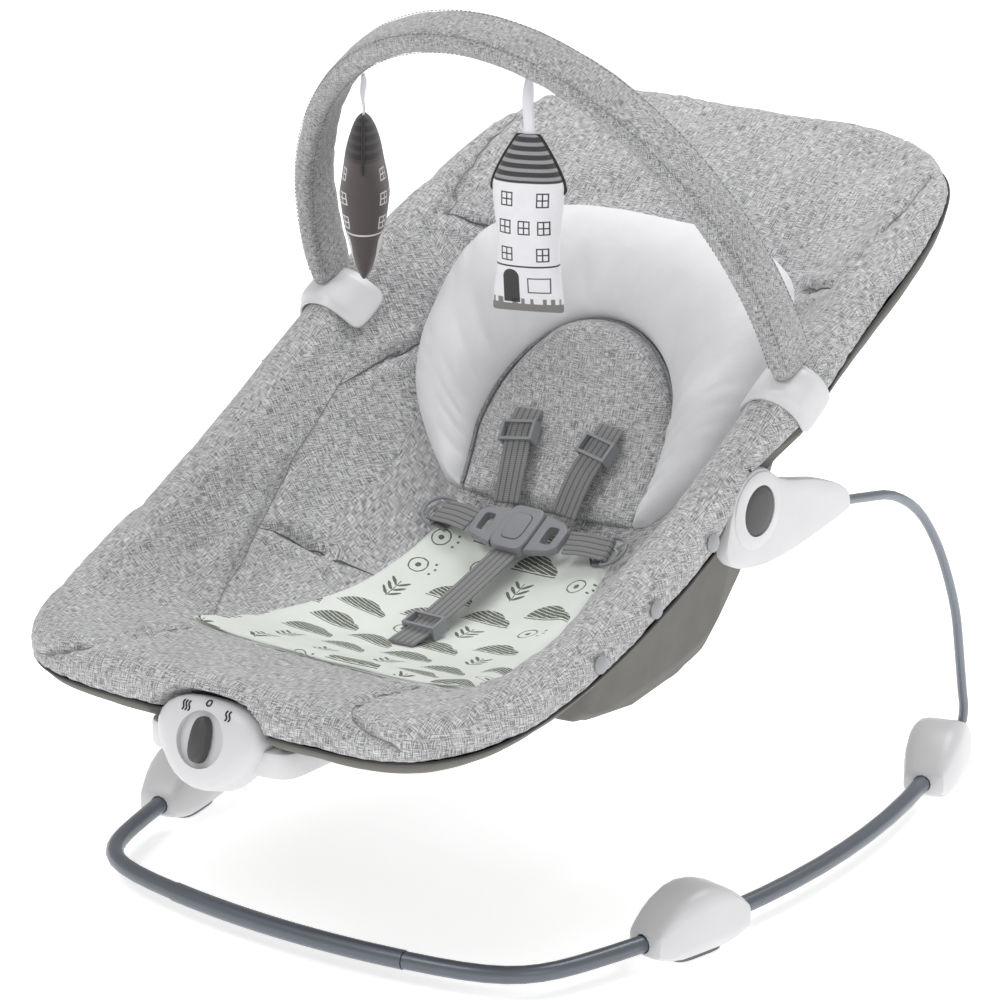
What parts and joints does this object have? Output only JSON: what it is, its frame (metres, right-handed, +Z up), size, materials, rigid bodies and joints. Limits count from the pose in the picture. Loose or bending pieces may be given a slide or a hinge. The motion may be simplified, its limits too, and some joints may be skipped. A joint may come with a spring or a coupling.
{
  "type": "baby bouncer",
  "caption": "Padded reclined seat in a tube rim on two bent spring rods and a floor loop, with harness, head cushion, arched toy bar, hanging toys and vibration unit.",
  "frame": {"origin": "middle of the bounding box's underside: on the floor, in the middle plane, halfway between the foot end and the head end", "axes": "+Z up, +Y toward the head end, +X toward the child's left as it lies in the seat, which is the side seen near the viewer from the foot end"},
  "size_m": [0.5686, 0.7843, 0.7162],
  "materials": {
    "satin_tube": "satin grey powder coat",
    "spring_steel": "satin grey coated spring steel",
    "zinc_steel": "zinc plated",
    "white_plastic": "fine moulded texture",
    "white_plastic_door": "fine moulded texture",
    "dark_plastic": "fine moulded texture",
    "rubber_pad": "matt",
    "bracket_plastic": "plain moulded",
    "marl_cloth": "marl jersey, padded",
    "under_cloth": "plain weave",
    "print_cloth": "printed cotton",
    "white_cloth": "soft cotton",
    "dark_cloth": "soft cotton",
    "webbing": "woven webbing",
    "grey_plastic": "satin",
    "stud_plastic": "satin"
  },
  "bodies": {
    "base": {"front_bar": "satin_tube", "side_tube_right": "satin_tube", "side_tube_left": "satin_tube", "front_foot_right": "white_plastic", "front_foot_left": "white_plastic", "front_foot_pad_right": "rubber_pad", "front_foot_pad_left": "rubber_pad", "rear_foot_right": "white_plastic", "rear_foot_left": "white_plastic", "rear_foot_pad_right": "rubber_pad", "rear_foot_pad_left": "rubber_pad"},
    "spring_frame": {"spring_rod_right": "spring_steel", "spring_rod_left": "spring_steel", "pivot_arm_right": "white_plastic", "pivot_arm_left": "white_plastic", "pivot_pin_right": "zinc_steel", "pivot_pin_left": "zinc_steel"},
    "seat": {"rim_tube": "satin_tube", "seat_cover": "marl_cloth", "under_cover": "under_cloth", "seat_board": "bracket_plastic", "seat_panel": "print_cloth", "back_pad": "marl_cloth", "head_cushion": "white_cloth", "hub_bracket_right": "bracket_plastic", "hub_bracket_left": "bracket_plastic", "press_stud_1_right": "stud_plastic", "press_stud_1_left": "stud_plastic", "press_stud_2_right": "stud_plastic", "press_stud_2_left": "stud_plastic", "press_stud_3_right": "stud_plastic", "press_stud_3_left": "stud_plastic", "buckle_body": "grey_plastic", "buckle_tongue_right": "grey_plastic", "buckle_tongue_left": "grey_plastic", "shoulder_strap_right": "webbing", "shoulder_strap_left": "webbing", "crotch_strap": "webbing", "d_ring_right": "grey_plastic", "d_ring_left": "grey_plastic", "waist_strap_right": "webbing", "waist_strap_left": "webbing", "vibration_housing": "white_plastic", "battery_door": "white_plastic_door"},
    "toy_bar": {"toy_bar_sleeve": "marl_cloth", "toy_bar_core": "bracket_plastic", "toy_bar_clip_right": "white_plastic", "toy_bar_clip_left": "white_plastic"},
    "hub_button_r": {"hub_button_right": "dark_plastic"},
    "hub_button_l": {"hub_button_left": "dark_plastic"},
    "hanging_toy_dark": {"toy_dark": "dark_cloth", "toy_ribbon_dark": "white_cloth"},
    "hanging_toy_white": {"toy_white": "white_cloth", "toy_ribbon_white": "white_cloth"},
    "knob": {"vibration_knob": "dark_plastic"},
    "buckle_release": {"buckle_button": "grey_plastic"},
    "strap_slider_r": {"shoulder_slider_right": "grey_plastic"},
    "strap_slider_l": {"shoulder_slider_left": "grey_plastic"},
    "strap_slider_crotch": {"crotch_slider": "grey_plastic"}
  },
  "joints": [
    {"name": "bounce", "type": "hinge", "parent": "base", "child": "spring_frame", "pos_m": [0, 0.36758, 0.0205], "axis": [-1, 0, 0], "range_deg": [-2.5, 2], "stiffness_Nm_per_rad": 400, "springref_deg": 3.58},
    {"name": "hub_button_press_r", "type": "slide", "parent": "spring_frame", "child": "hub_button_r", "axis": [-1, 0, 0], "range_m": [0, 0.003], "stiffness_N_per_m": 800, "springref_m": -0.002},
    {"name": "hub_button_press_l", "type": "slide", "parent": "spring_frame", "child": "hub_button_l", "axis": [1, 0, 0], "range_m": [0, 0.003], "stiffness_N_per_m": 800, "springref_m": -0.002},
    {"name": "recline", "type": "hinge", "parent": "spring_frame", "child": "seat", "pos_m": [0, 0.0169, 0.334], "axis": [1, 0, 0], "range_deg": [-9, 0]},
    {"name": "toy_bar_lift_off", "type": "slide", "parent": "seat", "child": "toy_bar", "axis": [0, -0.4067, 0.9135], "range_m": [0, 0.06]},
    {"name": "toy_swing_dark", "type": "hinge", "parent": "toy_bar", "child": "hanging_toy_dark", "pos_m": [-0.12519, -0.01715, 0.64797], "axis": [1, 0, 0], "range_deg": [-25, 25]},
    {"name": "toy_swing_white", "type": "hinge", "parent": "toy_bar", "child": "hanging_toy_white", "pos_m": [0.0524, -0.03317, 0.68394], "axis": [1, 0, 0], "range_deg": [-25, 25]},
    {"name": "vibration_dial", "type": "hinge", "parent": "seat", "child": "knob", "pos_m": [0, -0.3721, 0.206], "axis": [0, -0.9455, 0.3256], "range_deg": [-35, 35]},
    {"name": "buckle_press", "type": "slide", "parent": "seat", "child": "buckle_release", "axis": [0, 0.5, -0.866], "range_m": [0, 0.0015], "stiffness_N_per_m": 800, "springref_m": -0.002},
    {"name": "strap_slide_r", "type": "slide", "parent": "seat", "child": "strap_slider_r", "axis": [0.1838, 0.6822, 0.7077], "range_m": [-0.01, 0.004]},
    {"name": "strap_slide_l", "type": "slide", "parent": "seat", "child": "strap_slider_l", "axis": [-0.1838, 0.6822, 0.7077], "range_m": [-0.01, 0.004]},
    {"name": "strap_slide_crotch", "type": "slide", "parent": "seat", "child": "strap_slider_crotch", "axis": [0.0029, 0.9682, 0.25], "range_m": [0, 0.012]}
  ]
}
